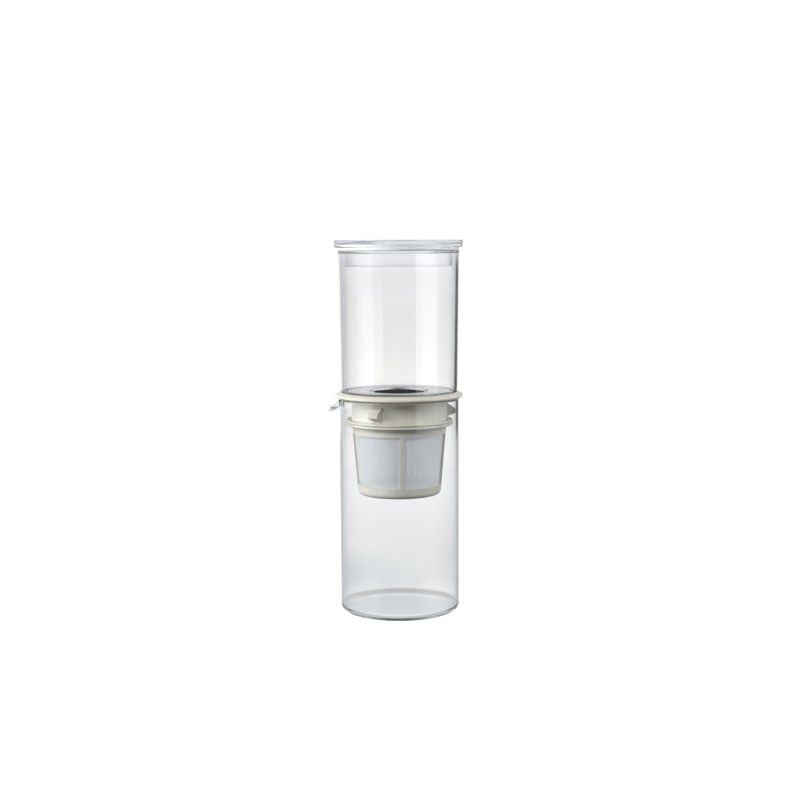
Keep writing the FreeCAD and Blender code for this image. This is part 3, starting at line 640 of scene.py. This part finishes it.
disc_low, disc_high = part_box("bottom_mesh")
disc_level = (disc_low.z + disc_high.z) / 2
disc = bmesh.new()
threads = disc.loops.layers.uv.new("threads")
bmesh.ops.create_grid(disc, x_segments=DISC_SEGMENTS, y_segments=DISC_SEGMENTS, size=disc_high.x)
for vertex in disc.verts:
    # Each square ring of the grid is drawn in to a round one
    reach = max(abs(vertex.co.x), abs(vertex.co.y))
    if reach > 0:
        vertex.co *= reach / vertex.co.length
    vertex.co.z = disc_level
for face in disc.faces:
    for loop in face.loops:
        loop[threads].uv = loop.vert.co.xy
bottom_mesh = dressed_piece("mesh_disc", disc, "strainer", "bottom_mesh")
give(bottom_mesh, mesh_finish)


# ---------------------------------------------------------------------------------------------------
# Strainer seal: a moulded ring of translucent silicone, matt and slightly milky. It is stretched into
# the spigot's groove, where it grips the inside of the holder's skirt.
# ---------------------------------------------------------------------------------------------------

SILICONE_COLOUR = (0.93, 0.94, 0.96)
SILICONE_CLEARNESS = 0.15
SILICONE_BEND = 1.41
SILICONE_MATT = (0.28, 0.42)
DUST_PER_METRE = 900.0
DUST_RELIEF = (0.2, 0.00005)


def silicone(name, colour, clearness):
    """Milky translucent rubber with a matt, faintly dusty skin."""
    tree, material = empty_material(name)
    place = add_node(tree, "ShaderNodeTexCoord").outputs["Object"]
    dust = noise(tree, place, DUST_PER_METRE)
    skin = add_node(
        tree,
        "ShaderNodeBsdfPrincipled",
        {
            "Base Color": (*colour, 1.0),
            "Roughness": uneven(tree, dust, *SILICONE_MATT),
            "IOR": SILICONE_BEND,
            "Transmission Weight": clearness,
            "Normal": relief(tree, dust, *DUST_RELIEF),
        },
    )
    add_node(tree, "ShaderNodeOutputMaterial", {"Surface": skin.outputs[0]})
    return material


silicone_finish = silicone("silicone", SILICONE_COLOUR, SILICONE_CLEARNESS)
give(nodes["strainer_seal"], silicone_finish)


# ---------------------------------------------------------------------------------------------------
# Shower plate: a thin perforated disc moulded in the holder's plastic, which spreads the drops over
# the coffee. It lies loose on the strainer's ledge.
# ---------------------------------------------------------------------------------------------------

give(nodes["shower_plate"], holder_finish)


# ---------------------------------------------------------------------------------------------------
# Water tank: a beaker injection-moulded in clear styrene resin, drafted so that it leaves the mould,
# with a beaded rim. It bends light more than glass and is faintly blue where it is thick.
# ---------------------------------------------------------------------------------------------------

RESIN_BEND = 1.56
RESIN_DEPTH_COLOUR = (0.60, 0.70, 0.82, 1.0)
RESIN_DEPTH = 3.0
RESIN_WAVE = 0.002
RESIN_SHADE = (0.94, 0.95, 0.97, 1.0)

resin_finish = clear_solid(
    "clear_plastic", RESIN_BEND, RESIN_DEPTH_COLOUR, RESIN_DEPTH, RESIN_WAVE, RESIN_SHADE
)
give(nodes["tank"], resin_finish)


# ---------------------------------------------------------------------------------------------------
# Nozzle grommet: a moulded ring of the same silicone, pressed into the hole in the tank's floor,
# where it seals the nozzle.
# ---------------------------------------------------------------------------------------------------

give(nodes["nozzle_grommet"], silicone_finish)


# ---------------------------------------------------------------------------------------------------
# Drip plate, filter ring and nozzle: stainless steel. The plate is pressed and polished, the ring is
# crimped round its wire mesh, and the nozzle is turned from bar.
# ---------------------------------------------------------------------------------------------------

STEEL_COLOUR = (0.72, 0.725, 0.74)
STEEL_SATIN = (0.07, 0.14)
RING_STRETCH = 0.85
RINGS_PER_METRE = 4000.0
RING_RELIEF = (0.12, 0.00002)
# How far the stretch is turned from the way of the rings, as a share of a full turn
STRETCH_TURN = 0.25


def spun_steel(name, colour, satin):
    """Bright steel with the fine rings that polishing on a spindle leaves, which stretch what it mirrors."""
    tree, material = empty_material(name)
    place = add_node(tree, "ShaderNodeTexCoord").outputs["Object"]
    x, y, z = add_node(tree, "ShaderNodeSeparateXYZ", {0: place}).outputs
    squares = calculate(tree, "ADD", calculate(tree, "MULTIPLY", x, x), calculate(tree, "MULTIPLY", y, y))
    spot = add_node(tree, "ShaderNodeCombineXYZ", {"X": calculate(tree, "SQRT", squares), "Y": z})
    lines = noise(tree, spot.outputs[0], RINGS_PER_METRE)
    rings_way = add_node(tree, "ShaderNodeTangent", direction_type="RADIAL", axis="Z")
    skin = add_node(
        tree,
        "ShaderNodeBsdfPrincipled",
        {
            "Base Color": (*colour, 1.0),
            "Metallic": 1.0,
            "Roughness": uneven(tree, lines, *satin),
            "Anisotropic": RING_STRETCH,
            "Anisotropic Rotation": STRETCH_TURN,
            "Tangent": rings_way.outputs[0],
            "Normal": relief(tree, lines, *RING_RELIEF),
        },
    )
    add_node(tree, "ShaderNodeOutputMaterial", {"Surface": skin.outputs[0]})
    return material


steel_finish = spun_steel("polished_steel", STEEL_COLOUR, STEEL_SATIN)
for name in ("drip_plate", "filter_ring", "drip_nozzle"):
    give(nodes[name], steel_finish)


# ---------------------------------------------------------------------------------------------------
# Plate gasket: a moulded ring of near-black rubber with a matt skin. It lies between the plate's edge and the
# tank's floor, and its black also stands in as painted shade for the shadow in the gap under the plate's
# edge.
# ---------------------------------------------------------------------------------------------------

# Near-black: rubber, and painted shade for the shadow gap under the plate's edge
GASKET_RUBBER_AND_GAP_SHADOW_COLOUR = (0.02, 0.02, 0.021)
RUBBER_MATT = (0.55, 0.75)


def dark_rubber(name, colour):
    """Black moulded rubber, matt and a little dusty, whose black also stands in as painted shade for the
    shadow gap under the plate.
    """
    tree, material = empty_material(name)
    place = add_node(tree, "ShaderNodeTexCoord").outputs["Object"]
    matt = uneven(tree, noise(tree, place, DUST_PER_METRE), *RUBBER_MATT)
    skin = add_node(tree, "ShaderNodeBsdfPrincipled", {"Base Color": (*colour, 1.0), "Roughness": matt})
    add_node(tree, "ShaderNodeOutputMaterial", {"Surface": skin.outputs[0]})
    return material


give(nodes["plate_gasket"], dark_rubber("dark_rubber", GASKET_RUBBER_AND_GAP_SHADOW_COLOUR))


# ---------------------------------------------------------------------------------------------------
# Filter mesh: a round of plain-woven fine wire, near-black, crimped into the filter ring.
# Each wire passes over and under those that cross it.
# ---------------------------------------------------------------------------------------------------

WIRE_PITCH = 0.00056
WIRE_THICKNESS = 0.00013
WIRE_SIDES = 4
WIRE_COLOUR = (0.008, 0.008, 0.009)
WIRE_SHINE = 0.15
WIRE_MATT = (0.5, 0.7)
WEAR_PER_METRE = 1500.0


def dark_wire(name, colour):
    """Fine near-black steel wire, matt and patchy where the rolls have rubbed it."""
    tree, material = empty_material(name)
    place = add_node(tree, "ShaderNodeTexCoord").outputs["Object"]
    matt = uneven(tree, noise(tree, place, WEAR_PER_METRE), *WIRE_MATT)
    skin = add_node(
        tree,
        "ShaderNodeBsdfPrincipled",
        {"Base Color": (*colour, 1.0), "Specular IOR Level": WIRE_SHINE, "Roughness": matt},
    )
    add_node(tree, "ShaderNodeOutputMaterial", {"Surface": skin.outputs[0]})
    return material


wire_low, wire_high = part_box("filter_mesh")
wire_level = (wire_low.z + wire_high.z) / 2
wire_reach = wire_high.x - WIRE_THICKNESS
wires_each_side = int(wire_reach / WIRE_PITCH)
weave = bmesh.new()
for crosswise in (False, True):
    for number in range(-wires_each_side, wires_each_side + 1):
        aside = number * WIRE_PITCH
        half = math.sqrt(wire_reach**2 - aside**2)
        knots = int(half / WIRE_PITCH)
        places = [-half, *(knot * WIRE_PITCH for knot in range(-knots, knots + 1)), half]
        loops = []
        for place in places:
            knot = round(place / WIRE_PITCH)
            over = 1 if (knot + number) % 2 == 0 else -1
            if crosswise:
                over = -over
            rise = wire_level + over * WIRE_THICKNESS / 2
            loop = []
            for side in range(WIRE_SIDES):
                turn = 2 * math.pi * (side + 0.5) / WIRE_SIDES
                out = aside + WIRE_THICKNESS / 2 * math.cos(turn)
                up = rise + WIRE_THICKNESS / 2 * math.sin(turn)
                corner = (out, place, up) if crosswise else (place, out, up)
                loop.append(weave.verts.new(corner))
            loops.append(loop)
        for first, second in zip(loops, loops[1:]):
            for side in range(WIRE_SIDES):
                after = (side + 1) % WIRE_SIDES
                weave.faces.new((first[side], first[after], second[after], second[side]))
        weave.faces.new(loops[0])
        weave.faces.new(loops[-1])
bmesh.ops.recalc_face_normals(weave, faces=weave.faces)
wire_weave = dressed_piece("wire_weave", weave, "drip_unit", "filter_mesh")
give(wire_weave, dark_wire("filter_wire", WIRE_COLOUR))


# ---------------------------------------------------------------------------------------------------
# Lid: injection-moulded in clear styrene resin like the tank. Its rim hangs over the tank's, and a
# skirt inside the tank keeps it central.
# ---------------------------------------------------------------------------------------------------

give(nodes["lid"], resin_finish)


# ---------------------------------------------------------------------------------------------------
# Lid seal: a moulded ring of the same silicone, stretched round the lid's skirt. Its lip rests on the
# tank's rim.
# ---------------------------------------------------------------------------------------------------

give(nodes["lid_seal"], silicone_finish)
